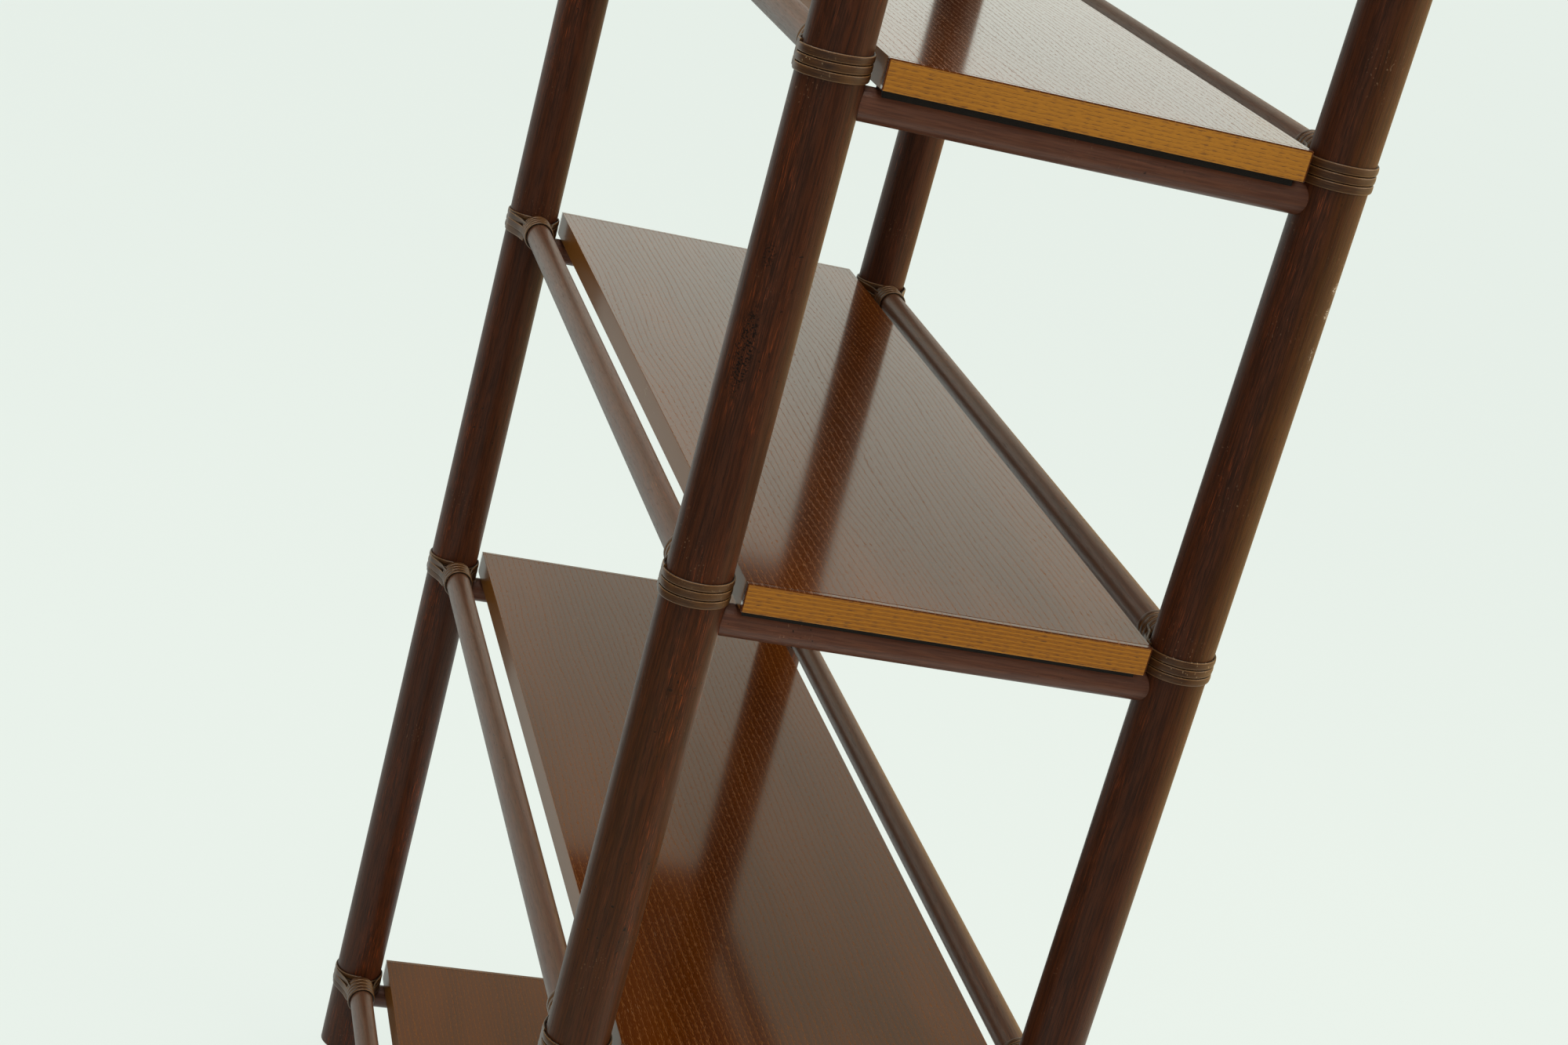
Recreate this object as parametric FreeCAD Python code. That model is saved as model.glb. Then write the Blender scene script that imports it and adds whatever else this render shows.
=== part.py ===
import FreeCAD, Part
import math
import os

# A free-standing bookcase open on both long sides: four round posts, five levels of round rails
# lashed to them with flat leather lace, and a loose shelf lying on the cross rails of each level.
# Millimetres. Origin at the centre of the footprint on the floor, X across the depth,
# Y along the length, Z up. Level 1 is the lowest.

# Posts
POST_DIAMETER = 48.0
POST_SPAN_X = 370.0
POST_SPAN_Y = 920.0
POST_EDGE_BEVEL = 3.0
POST_ABOVE_TOP_SHELF = 81.0

# Levels: height of the lowest shelf, then the rise from each shelf to the next
FIRST_SHELF_TOP = 98.0
BOTTOM_BAY = 496.0
UPPER_BAY = 375.0
UPPER_BAY_COUNT = 3

# Shelves, each a board with an oak lipping on both short ends
SHELF_THICKNESS = 22.0
SHELF_TO_POST_GAP = 7.0
SHELF_END_INSET = 6.0
LIPPING_THICKNESS = 5.0

# Felt pads between shelf and cross rail
PAD_WIDTH = 18.0
PAD_THICKNESS = 2.0
PAD_END_INSET = 4.0

# Rails
LONG_RAIL_DIAMETER = 24.0
CROSS_RAIL_DIAMETER = 24.0

# Tenons on the cross rails, in mortises in the posts
TENON_WIDTH = 10.0
TENON_HEIGHT = 14.0
TENON_LENGTH = 18.0

# Square steel pins from the posts into the ends of the long rails
PIN_SIDE = 4.0
PIN_IN_POST = 18.0
PIN_IN_RAIL = 35.0

# Leather lace, wound flat round the post and round the end of the long rail
LACE_WIDTH = 6.0
LACE_GAP = 0.5
LACE_THICKNESS = 2.0
POST_LACE_TURNS = 3
POST_LACE_FLAT_COUNT = 10
RAIL_LACE_TURNS = 4
RAIL_LACE_FLAT_COUNT = 8

# Fits
GLUE_LINE = 0.1
HOLE_END_ROOM = 1.0
LACE_CLEARANCE = 0.25

# Worked out from the sizes above
POST_RADIUS = POST_DIAMETER / 2
LONG_RAIL_RADIUS = LONG_RAIL_DIAMETER / 2
CROSS_RAIL_RADIUS = CROSS_RAIL_DIAMETER / 2
SHELF_TOPS = [FIRST_SHELF_TOP]
SHELF_TOPS += [FIRST_SHELF_TOP + BOTTOM_BAY + UPPER_BAY * i for i in range(UPPER_BAY_COUNT + 1)]
UNIT_HEIGHT = SHELF_TOPS[-1] + POST_ABOVE_TOP_SHELF
SHELF_WIDTH = POST_SPAN_X - POST_DIAMETER - 2 * SHELF_TO_POST_GAP
SHELF_LENGTH = POST_SPAN_Y + POST_DIAMETER - 2 * SHELF_END_INSET
LACE_PITCH = LACE_WIDTH + LACE_GAP
BAND_HEIGHT = POST_LACE_TURNS * LACE_PITCH + LACE_WIDTH
# The band's corners stand out further than its flats
BAND_RADIUS = (POST_RADIUS + GLUE_LINE + LACE_THICKNESS) / math.cos(math.pi / POST_LACE_FLAT_COUNT)
LONG_COPE_RADIUS = BAND_RADIUS + GLUE_LINE
CROSS_COPE_RADIUS = POST_RADIUS + GLUE_LINE
PIN_START = POST_RADIUS - PIN_IN_POST
PIN_END = LONG_COPE_RADIUS + PIN_IN_RAIL

X_SIDES = {"left": -1, "right": 1}
Y_ENDS = {"front": -1, "back": 1}
UP = FreeCAD.Vector(0, 0, 1)
ALONG_X = FreeCAD.Vector(1, 0, 0)
ALONG_Y = FreeCAD.Vector(0, 1, 0)
ORIGIN = FreeCAD.Vector(0, 0, 0)


def post_x(x_side):
    return x_side * POST_SPAN_X / 2


def post_y(y_end):
    return y_end * POST_SPAN_Y / 2


def cross_rail_height(shelf_top):
    return shelf_top - SHELF_THICKNESS - PAD_THICKNESS - CROSS_RAIL_RADIUS


def long_rail_height(shelf_top):
    """The long rail sits as low as its band on the post can go above the cross rail."""
    return cross_rail_height(shelf_top) + CROSS_RAIL_RADIUS + LACE_CLEARANCE + BAND_HEIGHT / 2


def block(x_range, y_range, z_range):
    """A box between two values on each axis, given in either order."""
    low = FreeCAD.Vector(min(x_range), min(y_range), min(z_range))
    high = FreeCAD.Vector(max(x_range), max(y_range), max(z_range))
    size = high - low
    return Part.makeBox(size.x, size.y, size.z, low)


def about(centre, width):
    return (centre - width / 2, centre + width / 2)


def tenon_block(x_side, y_end, shelf_top, tip, root, room):
    """From tip to root, both measured from the post's axis towards the middle of the unit."""
    x_range = (post_x(x_side) - x_side * tip, post_x(x_side) - x_side * root)
    y_range = about(post_y(y_end), TENON_WIDTH + 2 * room)
    z_range = about(cross_rail_height(shelf_top), TENON_HEIGHT + 2 * room)
    return block(x_range, y_range, z_range)


def pin_block(x_side, y_end, shelf_top, room, end_room):
    x_range = about(post_x(x_side), PIN_SIDE + 2 * room)
    y_range = [post_y(y_end) - y_end * (PIN_START - end_room), post_y(y_end) - y_end * (PIN_END + end_room)]
    z_range = about(long_rail_height(shelf_top), PIN_SIDE + 2 * room)
    return block(x_range, y_range, z_range)


def make_post(x_side, y_end):
    post = Part.makeCylinder(POST_RADIUS, UNIT_HEIGHT, FreeCAD.Vector(post_x(x_side), post_y(y_end), 0), UP)
    rims = [edge for edge in post.Edges if isinstance(edge.Curve, Part.Circle)]
    post = post.makeChamfer(POST_EDGE_BEVEL, rims)
    holes = []
    for shelf_top in SHELF_TOPS:
        mortise_end = POST_RADIUS - TENON_LENGTH - HOLE_END_ROOM
        holes.append(tenon_block(x_side, y_end, shelf_top, mortise_end, POST_DIAMETER, GLUE_LINE))
        holes.append(pin_block(x_side, y_end, shelf_top, GLUE_LINE, HOLE_END_ROOM))
    return post.cut(holes)


def post_envelopes(x_sides, y_ends, radius):
    """Upright cylinders on the posts' axes, which cut the saddles in the ends of the rails."""
    places = [FreeCAD.Vector(post_x(x_side), post_y(y_end), 0) for x_side in x_sides for y_end in y_ends]
    return [Part.makeCylinder(radius, UNIT_HEIGHT, place, UP) for place in places]


def make_long_rail(x_side, shelf_top):
    start = FreeCAD.Vector(post_x(x_side), -POST_SPAN_Y / 2, long_rail_height(shelf_top))
    rail = Part.makeCylinder(LONG_RAIL_RADIUS, POST_SPAN_Y, start, ALONG_Y)
    rail = rail.cut(post_envelopes([x_side], Y_ENDS.values(), LONG_COPE_RADIUS))
    holes = [pin_block(x_side, y_end, shelf_top, GLUE_LINE, HOLE_END_ROOM) for y_end in Y_ENDS.values()]
    return rail.cut(holes)


def make_cross_rail(y_end, shelf_top):
    start = FreeCAD.Vector(-POST_SPAN_X / 2, post_y(y_end), cross_rail_height(shelf_top))
    rail = Part.makeCylinder(CROSS_RAIL_RADIUS, POST_SPAN_X, start, ALONG_X)
    rail = rail.cut(post_envelopes(X_SIDES.values(), [y_end], CROSS_COPE_RADIUS))
    tip = POST_RADIUS - TENON_LENGTH
    root = CROSS_COPE_RADIUS + TENON_WIDTH / 2
    tenons = [tenon_block(x_side, y_end, shelf_top, tip, root, 0) for x_side in X_SIDES.values()]
    return rail.fuse(tenons).removeSplitter()


def make_rest_pad(y_end, shelf_top):
    """A felt strip saddled on the top of a cross rail."""
    pad_top = shelf_top - SHELF_THICKNESS
    seat_radius = CROSS_RAIL_RADIUS + GLUE_LINE
    pad_bottom = cross_rail_height(shelf_top) + math.sqrt(seat_radius ** 2 - (PAD_WIDTH / 2) ** 2)
    pad_length = SHELF_WIDTH - 2 * PAD_END_INSET
    pad = block(about(0, pad_length), about(post_y(y_end), PAD_WIDTH), (pad_bottom, pad_top))
    start = FreeCAD.Vector(-POST_SPAN_X / 2, post_y(y_end), cross_rail_height(shelf_top))
    return pad.cut(Part.makeCylinder(seat_radius, POST_SPAN_X, start, ALONG_X))


def make_shelf_board(shelf_top):
    length = SHELF_LENGTH - 2 * LIPPING_THICKNESS
    return block(about(0, SHELF_WIDTH), about(0, length), (shelf_top - SHELF_THICKNESS, shelf_top))


def make_lipping(y_end, shelf_top):
    outer = y_end * SHELF_LENGTH / 2
    inner = outer - y_end * LIPPING_THICKNESS
    return block(about(0, SHELF_WIDTH), (inner, outer), (shelf_top - SHELF_THICKNESS, shelf_top))


def lace_sections(pole_radius, thickness, turns, flats):
    """Corner points of the lace at each step of its turns round the Z axis, centred on the origin."""
    reach = 1 / math.cos(math.pi / flats)
    inner = (pole_radius + GLUE_LINE) * reach
    outer = (pole_radius + GLUE_LINE + thickness) * reach
    sections = []
    for step in range(turns * flats + 1):
        angle = 2 * math.pi * step / flats
        middle = LACE_PITCH * (step / flats - turns / 2)
        low, high = about(middle, LACE_WIDTH)
        corners = [(inner, low), (outer, low), (outer, high), (inner, high)]
        across, along = math.cos(angle), math.sin(angle)
        sections.append([FreeCAD.Vector(radius * across, radius * along, z) for radius, z in corners])
    return sections


def make_winding(pole_radius, thickness, turns, flats):
    """One unbroken strip of lace wound round the Z axis, lying flat on the pole."""
    sections = lace_sections(pole_radius, thickness, turns, flats)
    wires = [Part.makePolygon(corners + corners[:1]) for corners in sections]
    return Part.makeLoft(wires, True, True)


def least_gap(sections, flats):
    """Least distance from the top edge of a turn to the bottom edge of the turn above it."""
    gaps = []
    for lower, upper in zip(sections, sections[flats:]):
        gaps.append(min(top.distanceToPoint(bottom) for top in lower[2:] for bottom in upper[:2]))
    return min(gaps)


def make_post_lashing(winding, x_side, y_end, shelf_top):
    """The band round a post: both ends of its lace lie behind the end of the long rail."""
    lashing = winding.copy()
    lashing.rotate(ORIGIN, UP, -y_end * 90)
    lashing.translate(FreeCAD.Vector(post_x(x_side), post_y(y_end), long_rail_height(shelf_top)))
    return lashing.cut(pin_block(x_side, y_end, shelf_top, GLUE_LINE, HOLE_END_ROOM))


def make_rail_lashing(winding, x_side, y_end, shelf_top):
    """The collar round the end of a long rail, next to the band on the post."""
    half_length = (RAIL_LACE_TURNS * LACE_PITCH + LACE_WIDTH) / 2
    distance = BAND_RADIUS + LACE_GAP + half_length
    lashing = winding.copy()
    lashing.rotate(ORIGIN, UP, 90)
    lashing.rotate(ORIGIN, ALONG_X, y_end * 90)
    place = FreeCAD.Vector(post_x(x_side), post_y(y_end) - y_end * distance, long_rail_height(shelf_top))
    lashing.translate(place)
    return lashing


def corners_of_unit():
    return [(x_side, y_end) for x_side in X_SIDES.values() for y_end in Y_ENDS.values()]


def save(node, solids):
    shape = solids[0] if len(solids) == 1 else Part.makeCompound(solids)
    shape.exportStep("parts/" + node + ".step")


def build_level(level, shelf_top, post_winding, rail_winding):
    for name, x_side in X_SIDES.items():
        save(f"long_rail_{name}_{level}", [make_long_rail(x_side, shelf_top)])
    for name, y_end in Y_ENDS.items():
        save(f"cross_rail_{name}_{level}", [make_cross_rail(y_end, shelf_top)])
        save(f"lipping_{name}_{level}", [make_lipping(y_end, shelf_top)])
    save(f"shelf_board_{level}", [make_shelf_board(shelf_top)])
    save(f"rest_pads_{level}", [make_rest_pad(y_end, shelf_top) for y_end in Y_ENDS.values()])
    bands = [make_post_lashing(post_winding, *corner, shelf_top) for corner in corners_of_unit()]
    collars = [make_rail_lashing(rail_winding, *corner, shelf_top) for corner in corners_of_unit()]
    save(f"post_lashing_{level}", bands)
    save(f"rail_lashing_{level}", collars)


def main():
    os.makedirs("parts", exist_ok=True)
    post_lace = (POST_RADIUS, LACE_THICKNESS, POST_LACE_TURNS, POST_LACE_FLAT_COUNT)
    rail_lace = (LONG_RAIL_RADIUS, LACE_THICKNESS, RAIL_LACE_TURNS, RAIL_LACE_FLAT_COUNT)
    print("least gap in a post lashing", least_gap(lace_sections(*post_lace), POST_LACE_FLAT_COUNT))
    print("least gap in a rail lashing", least_gap(lace_sections(*rail_lace), RAIL_LACE_FLAT_COUNT))
    for x_name, x_side in X_SIDES.items():
        for y_name, y_end in Y_ENDS.items():
            save(f"post_{y_name}_{x_name}", [make_post(x_side, y_end)])
    post_winding = make_winding(*post_lace)
    rail_winding = make_winding(*rail_lace)
    for level, shelf_top in enumerate(SHELF_TOPS, start=1):
        build_level(level, shelf_top, post_winding, rail_winding)
    pins = [pin_block(*corner, shelf_top, 0, 0) for shelf_top in SHELF_TOPS for corner in corners_of_unit()]
    save("rail_pins", pins)


main()
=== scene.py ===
import math
import bpy
from mathutils import Matrix, Vector


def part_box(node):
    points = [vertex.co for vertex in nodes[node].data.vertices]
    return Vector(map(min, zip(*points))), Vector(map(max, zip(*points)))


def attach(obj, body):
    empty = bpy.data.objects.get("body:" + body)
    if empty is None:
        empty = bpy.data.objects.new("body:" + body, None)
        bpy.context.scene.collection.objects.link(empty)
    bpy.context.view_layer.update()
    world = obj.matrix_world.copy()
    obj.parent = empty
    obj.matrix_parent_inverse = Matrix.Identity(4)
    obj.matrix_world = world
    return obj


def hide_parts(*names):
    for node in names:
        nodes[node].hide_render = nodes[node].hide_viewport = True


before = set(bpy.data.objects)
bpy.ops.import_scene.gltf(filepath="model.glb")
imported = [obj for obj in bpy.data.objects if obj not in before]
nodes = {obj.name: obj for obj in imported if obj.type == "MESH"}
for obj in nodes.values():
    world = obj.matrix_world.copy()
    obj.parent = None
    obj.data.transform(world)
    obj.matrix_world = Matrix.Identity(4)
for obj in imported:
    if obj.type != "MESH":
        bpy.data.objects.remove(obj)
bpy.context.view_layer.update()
scene = bpy.context.scene

# Sizes in metres, as in the part.
LEVELS = (1, 2, 3, 4, 5)
SHELF_TOPS = (0.098, 0.594, 0.969, 1.344, 1.719)
POST_X = 0.185
POST_Y = 0.460
POST_RADIUS = 0.024
RAIL_RADIUS = 0.012
RAIL_BELOW_TOP = 0.011
LACE_WIDTH = 0.006
LACE_PITCH = 0.0065
POLE_CLEARANCE = 0.0001
BAND_TURNS = 3.0
BAND_DROP = 0.0015
BAND_THICKNESS = 0.0016
BAND_CROWN = 0.0003
BAND_WANDER = 0.0004
COLLAR_TURNS = 4.0
COLLAR_START = 0.0279
COLLAR_THICKNESS = 0.0023
COLLAR_CROWN = 0.0004
COLLAR_WANDER = 0.0006
CROSSING_REACH = 0.0146
CROSSING_RISES = (-0.0062, 0.0, 0.0062)
CROSSING_WIDTH = LACE_WIDTH * 1.2
CROSSING_THICKNESS = 0.0015
CROSSING_CROWN = 0.0002
CROSSING_WANDER = 0.0004
SHELF_HALF_WIDTH = 0.154
VENEER_THICKNESS = 0.0010
EASED_ARRIS = 0.0005

# Fixed seeds of the wandering of bands, collars and crossing strips, multiplied by the level.
BAND_SEED, COLLAR_SEED, CROSSING_SEED = 3.1, 5.7, 7.3


# Small helpers for building node trees.

def put(tree, value, socket):
    """Links a socket to the given one, or sets a plain value on it."""
    if isinstance(value, bpy.types.NodeSocket):
        tree.links.new(value, socket)
    else:
        socket.default_value = value


def calc(tree, operation, *values, clamp=False):
    node = tree.nodes.new("ShaderNodeMath")
    node.operation = operation
    node.use_clamp = clamp
    for value, socket in zip(values, node.inputs):
        put(tree, value, socket)
    return node.outputs[0]


def vector_calc(tree, operation, *values):
    node = tree.nodes.new("ShaderNodeVectorMath")
    node.operation = operation
    for value, socket in zip(values, node.inputs):
        put(tree, value, socket)
    return node.outputs[0]


def noise(tree, vector, scale, detail=2.0, rough=0.5, distortion=0.0):
    node = tree.nodes.new("ShaderNodeTexNoise")
    put(tree, vector, node.inputs["Vector"])
    node.inputs["Scale"].default_value = scale
    node.inputs["Detail"].default_value = detail
    node.inputs["Roughness"].default_value = rough
    node.inputs["Distortion"].default_value = distortion
    return node.outputs[0]


def between(tree, value, low, high, out_low=0.0, out_high=1.0):
    """A smooth step from low to high."""
    node = tree.nodes.new("ShaderNodeMapRange")
    node.interpolation_type = "SMOOTHSTEP"
    for given, socket in zip((value, low, high, out_low, out_high), node.inputs):
        put(tree, given, socket)
    return node.outputs[0]


def blend_colour(tree, share, first, second):
    node = tree.nodes.new("ShaderNodeMix")
    node.data_type = "RGBA"
    put(tree, share, node.inputs[0])
    put(tree, first, node.inputs[6])
    put(tree, second, node.inputs[7])
    return node.outputs[2]


def colour(red, green, blue):
    """A colour as seen on a screen, from 0 to 255, as linear values."""
    def linear(level):
        level = level / 255
        return level / 12.92 if level <= 0.04045 else ((level + 0.055) / 1.055) ** 2.4
    return (linear(red), linear(green), linear(blue), 1.0)


def effect(name, inputs, outputs):
    """A shader node group with named sockets, and its two ends."""
    tree = bpy.data.node_groups.new(name, "ShaderNodeTree")
    for label, kind in inputs:
        tree.interface.new_socket(name=label, in_out="INPUT", socket_type=kind)
    for label, kind in outputs:
        tree.interface.new_socket(name=label, in_out="OUTPUT", socket_type=kind)
    return tree, tree.nodes.new("NodeGroupInput").outputs, tree.nodes.new("NodeGroupOutput").inputs


def use_effect(tree, group, **values):
    node = tree.nodes.new("ShaderNodeGroup")
    node.node_tree = group
    for label, value in values.items():
        put(tree, value, node.inputs[label.replace("_", " ")])
    return node.outputs


def finish_named(name):
    """A new material, its tree and its Principled shader."""
    material = bpy.data.materials.new(name)
    material.use_nodes = True
    tree = material.node_tree
    return material, tree, tree.nodes["Principled BSDF"]


def object_place(tree):
    return tree.nodes.new("ShaderNodeTexCoord").outputs["Object"]


def split(tree, vector):
    """The X, Y and Z parts of a vector."""
    node = tree.nodes.new("ShaderNodeSeparateXYZ")
    tree.links.new(vector, node.inputs[0])
    return node.outputs


def join(tree, *parts):
    """A vector from its parts."""
    node = tree.nodes.new("ShaderNodeCombineXYZ")
    for value, socket in zip(parts, node.inputs):
        put(tree, value, socket)
    return node.outputs[0]


def facing(tree):
    """The X, Y and Z parts of the direction that a face points in."""
    return split(tree, tree.nodes.new("ShaderNodeNewGeometry").outputs["True Normal"])


def seen_rays(tree):
    """The light path, and whether the camera, a mirror or glass looks at the surface."""
    path = tree.nodes.new("ShaderNodeLightPath")
    seen = calc(tree, "MAXIMUM", path.outputs["Is Camera Ray"], path.outputs["Is Glossy Ray"])
    return path, calc(tree, "MAXIMUM", seen, path.outputs["Is Transmission Ray"])


def raise_surface(tree, shader, height, strength, distance):
    bump = tree.nodes.new("ShaderNodeBump")
    bump.inputs["Strength"].default_value = strength
    bump.inputs["Distance"].default_value = distance
    tree.links.new(height, bump.inputs["Height"])
    tree.links.new(bump.outputs["Normal"], shader.inputs["Normal"])


def clear_lacquer(tree, shader, weight):
    """A clear glossy coat, as heavy as the given mask."""
    tree.links.new(weight, shader.inputs["Coat Weight"])
    shader.inputs["Coat Roughness"].default_value = 0.10
    shader.inputs["Coat IOR"].default_value = 1.37


FLOAT, VECTOR, COLOUR = "NodeSocketFloat", "NodeSocketVector", "NodeSocketColor"


# Effects that several finishes share.

def make_pole_fibres():
    """Lengthwise fibres of a stained pole: fine dark and red streaks, broad patches, a few scars."""
    tree, given, out = effect(
        "pole_fibres",
        [("Place", VECTOR), ("Stretch", VECTOR), ("Dark", COLOUR), ("Brown", COLOUR), ("Red", COLOUR),
         ("Lines", FLOAT)],
        [("Color", COLOUR), ("Roughness", FLOAT), ("Height", FLOAT)],
    )
    run = vector_calc(tree, "MULTIPLY", given["Place"], given["Stretch"])
    fine = noise(tree, run, 1500.0, 2.0, 0.6)
    streak = noise(tree, vector_calc(tree, "ADD", run, (3.1, 1.7, 0.4)), 640.0, 3.0, 0.6)
    broad = noise(tree, given["Place"], 7.0, 3.0, 0.55)
    patch = noise(tree, vector_calc(tree, "MULTIPLY", run, (0.4, 0.4, 0.4)), 130.0, 2.0)
    tone = blend_colour(tree, between(tree, streak, 0.36, 0.62), given["Dark"], given["Brown"])
    reddish = calc(tree, "MULTIPLY", between(tree, fine, 0.54, 0.72), between(tree, broad, 0.34, 0.66))
    reddish = calc(tree, "MULTIPLY", reddish, between(tree, patch, 0.40, 0.64))
    tone = blend_colour(tree, reddish, tone, given["Red"])
    line_run = vector_calc(tree, "ADD", run, (0.7, 5.3, 2.2))
    lines = between(tree, noise(tree, line_run, 1900.0, 1.0), 0.60, 0.70)
    tone = blend_colour(tree, calc(tree, "MULTIPLY", lines, given["Lines"]), tone, colour(24, 12, 7))
    specks = noise(tree, given["Place"], 330.0, 0.0)
    scars = calc(tree, "MULTIPLY", between(tree, specks, 0.78, 0.82), between(tree, broad, 0.50, 0.62))
    tone = blend_colour(tree, scars, tone, colour(14, 8, 6))
    tree.links.new(tone, out["Color"])
    dull = calc(tree, "MULTIPLY_ADD", fine, 0.16, 0.32)
    tree.links.new(calc(tree, "ADD", dull, calc(tree, "MULTIPLY", lines, 0.12)), out["Roughness"])
    height = calc(tree, "ADD", calc(tree, "MULTIPLY", fine, 0.5), calc(tree, "MULTIPLY", streak, 0.5))
    height = calc(tree, "SUBTRACT", height, calc(tree, "MULTIPLY", scars, 1.2))
    tree.links.new(calc(tree, "SUBTRACT", height, calc(tree, "MULTIPLY", lines, 0.3)), out["Height"])
    return tree


def make_oak_figure():
    """Straight-grained oak, X across the grain and Y along it: lines of open pores, a slow change of tone."""
    tree, given, out = effect(
        "oak_figure",
        [("Place", VECTOR), ("Ring Width", FLOAT), ("Wander", FLOAT), ("Openness", FLOAT)],
        [("Ring", FLOAT), ("Pore", FLOAT), ("Tone", FLOAT)],
    )
    across = split(tree, given["Place"])[0]
    slow = noise(tree, vector_calc(tree, "MULTIPLY", given["Place"], (8.0, 2.6, 5.0)), 1.0, 2.0, 0.45)
    shift = calc(tree, "MULTIPLY", calc(tree, "SUBTRACT", slow, 0.5), given["Wander"])
    rings = calc(tree, "DIVIDE", calc(tree, "ADD", across, shift), given["Ring Width"])
    uneven = noise(tree, vector_calc(tree, "MULTIPLY", given["Place"], (90.0, 1.0, 30.0)), 1.0, 1.0)
    rings = calc(tree, "ADD", rings, calc(tree, "MULTIPLY", uneven, 1.3))
    phase = calc(tree, "FRACT", rings)
    tree.links.new(between(tree, phase, 0.0, 1.0), out["Ring"])
    run = vector_calc(tree, "MULTIPLY", given["Place"], (1.0, 0.05, 1.0))
    dash = noise(tree, run, 3000.0, 1.0, 0.4)
    from_middle = calc(tree, "ABSOLUTE", calc(tree, "SUBTRACT", phase, 0.5))
    early = between(tree, from_middle, 0.09, 0.03)
    late = between(tree, from_middle, 0.40, 0.10)
    open_pores = calc(tree, "MULTIPLY_ADD", early, 0.135, calc(tree, "MULTIPLY_ADD", late, 0.07, dash))
    open_pores = calc(tree, "ADD", open_pores, given["Openness"])
    tree.links.new(between(tree, open_pores, 0.66, 0.74), out["Pore"])
    drawn_out = vector_calc(tree, "MULTIPLY", given["Place"], (14.0, 1.6, 2.0))
    tree.links.new(noise(tree, drawn_out, 1.0, 3.0), out["Tone"])
    return tree


def make_handling_marks():
    """Sparse fine scratches and pale nicks, as a mask."""
    tree, given, out = effect("handling_marks", [("Place", VECTOR), ("Density", FLOAT)], [("Mark", FLOAT)])
    turned = tree.nodes.new("ShaderNodeMapping")
    turned.inputs["Rotation"].default_value = (0.4, 0.3, 0.5)
    turned.inputs["Scale"].default_value = (1.0, 0.12, 0.5)
    tree.links.new(given["Place"], turned.inputs["Vector"])
    line = between(tree, noise(tree, turned.outputs[0], 900.0, 0.0), 0.74, 0.80)
    area = noise(tree, vector_calc(tree, "ADD", given["Place"], (4.0, 2.0, 1.0)), 16.0, 1.0)
    here = between(tree, area, calc(tree, "SUBTRACT", 1.0, given["Density"]), 1.0)
    tree.links.new(calc(tree, "MULTIPLY", line, here, clamp=True), out["Mark"])
    return tree


POLE_FIBRES = make_pole_fibres()
OAK_FIGURE = make_oak_figure()
HANDLING_MARKS = make_handling_marks()


# Finishes.

# Marks on the posts: the middle of each patch, its reach in X, Y and Z, and how strong it is. The golden
# stretches are a painted warm sheen of light from the right on the near right post's right flank, and a faint
# golden lightening low on the near left post's front; the pits and nicks are wear.
SHEEN_AND_GOLDEN_STRETCHES = (
    ((0.209, -0.460, 1.25), (0.042, 0.060, 0.75), 0.36),
    ((-0.195, -0.480, 0.68), (0.050, 0.050, 0.35), 0.12),
)
PITTED_STRETCHES = (
    ((-0.1993, -0.4792, 1.133), (0.0085, 0.0085, 0.042), 1.0),
    ((-0.1993, -0.4792, 1.200), (0.006, 0.006, 0.012), 0.7),
)
NICKED_SPOTS = (
    ((0.2030, -0.4758, 1.2530), (0.006, 0.006, 0.006), 1.0),
    ((0.2030, -0.4758, 1.2345), (0.006, 0.006, 0.006), 1.0),
    ((0.1992, -0.4794, 1.205), (0.003, 0.003, 0.007), 0.5),
)


def patches(tree, place, spots):
    """A mask that is strongest in the middle of each patch and fades out at its edge."""
    mask = 0.0
    for middle, reach, strength in spots:
        far = tree.nodes.new("ShaderNodeVectorMath")
        far.operation = "LENGTH"
        away = vector_calc(tree, "SUBTRACT", place, middle)
        tree.links.new(vector_calc(tree, "DIVIDE", away, reach), far.inputs[0])
        mask = calc(tree, "MAXIMUM", mask, between(tree, far.outputs["Value"], 0.45, 1.0, strength, 0.0))
    return mask


def post_wear_and_sheen(tree, place, tone, height):
    """A painted warm sheen and a faint lightening in golden brown, small dark pits, and nicks down to the
    pale wood.
    """
    streaks = noise(tree, vector_calc(tree, "MULTIPLY", place, (1.0, 1.0, 0.04)), 900.0, 3.0, 0.6)
    streaks = between(tree, streaks, 0.34, 0.62, 0.35, 1.0)
    # Painted sheen: golden brown stands in for warm light from the right on the near right post; the second
    # stretch only lightens the near left post's low front a little.
    sheen_and_golden = calc(tree, "MULTIPLY", patches(tree, place, SHEEN_AND_GOLDEN_STRETCHES), streaks)
    tone = blend_colour(tree, sheen_and_golden, tone, colour(101, 68, 18))
    pits = between(tree, noise(tree, place, 620.0, 1.0), 0.50, 0.58)
    pits = calc(tree, "MULTIPLY", pits, patches(tree, place, PITTED_STRETCHES))
    tone = blend_colour(tree, calc(tree, "MULTIPLY", pits, 0.9), tone, colour(12, 7, 5))
    nicks = noise(tree, vector_calc(tree, "ADD", place, (0.3, 0.1, 0.2)), 1300.0, 1.0)
    nicks = between(tree, nicks, 0.57, 0.62)
    nicks = calc(tree, "MULTIPLY", nicks, patches(tree, place, NICKED_SPOTS))
    tone = blend_colour(tree, nicks, tone, colour(232, 220, 200))
    return tone, calc(tree, "MULTIPLY_ADD", pits, -1.5, height)


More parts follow.
